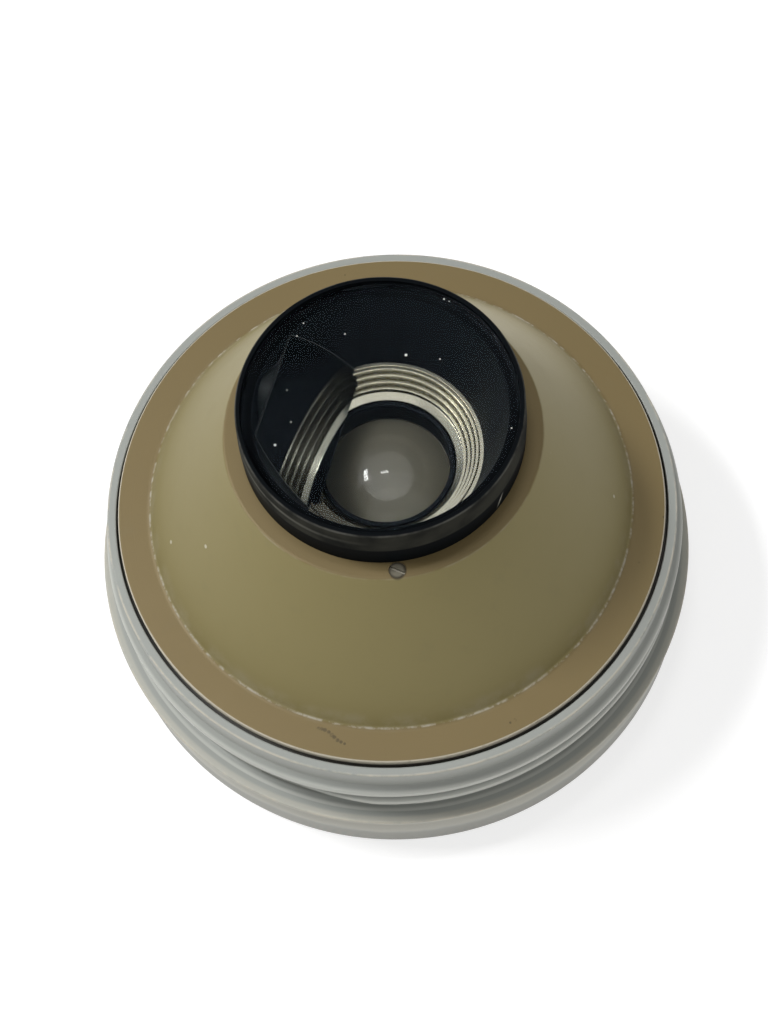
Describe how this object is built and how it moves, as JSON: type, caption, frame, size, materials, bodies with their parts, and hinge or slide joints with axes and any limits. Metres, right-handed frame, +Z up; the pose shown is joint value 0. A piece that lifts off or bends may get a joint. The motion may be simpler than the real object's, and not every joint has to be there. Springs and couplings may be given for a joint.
{
  "type": "gonioscopy lens",
  "caption": "Hand-held gonioscopy contact lens with an inclined mirror, gold conical shell and black barrel, standing in the threaded base of its storage case.",
  "frame": {"origin": "centre of the case base's underside, on the surface it stands on", "axes": "+Z up along the common axis, from the case base to the observer's window; -Y towards the lock screw"},
  "size_m": [0.058, 0.058, 0.0371],
  "materials": {
    "grey_plastic": "moulded mid-grey plastic, scuffed to cream along its edges",
    "gold_anodised": "satin olive-gold anodised, worn along the rim",
    "black_anodised": "satin black anodised with small chips at the collar's edge",
    "black_matt": "dull black paint",
    "optical_glass": "polished flat glass with a few specks of dust",
    "contact_glass": "polished, a thick clear contact lens",
    "front_mirror": "front-silvered plate",
    "bright_nickel": "bright turned nickel plate",
    "screw_steel": "dull steel"
  },
  "bodies": {
    "root": {"case_base": "grey_plastic", "lens_shell": "gold_anodised", "optic_barrel": "black_anodised", "observer_window": "optical_glass", "gonio_mirror": "front_mirror", "mirror_wedge": "black_matt", "throat_ring": "bright_nickel", "clamp_ring": "bright_nickel", "lens_cell": "black_anodised", "contact_lens": "contact_glass", "lens_retainer": "black_anodised", "barrel_nut": "black_anodised", "lock_screw": "screw_steel"}
  },
  "joints": []
}
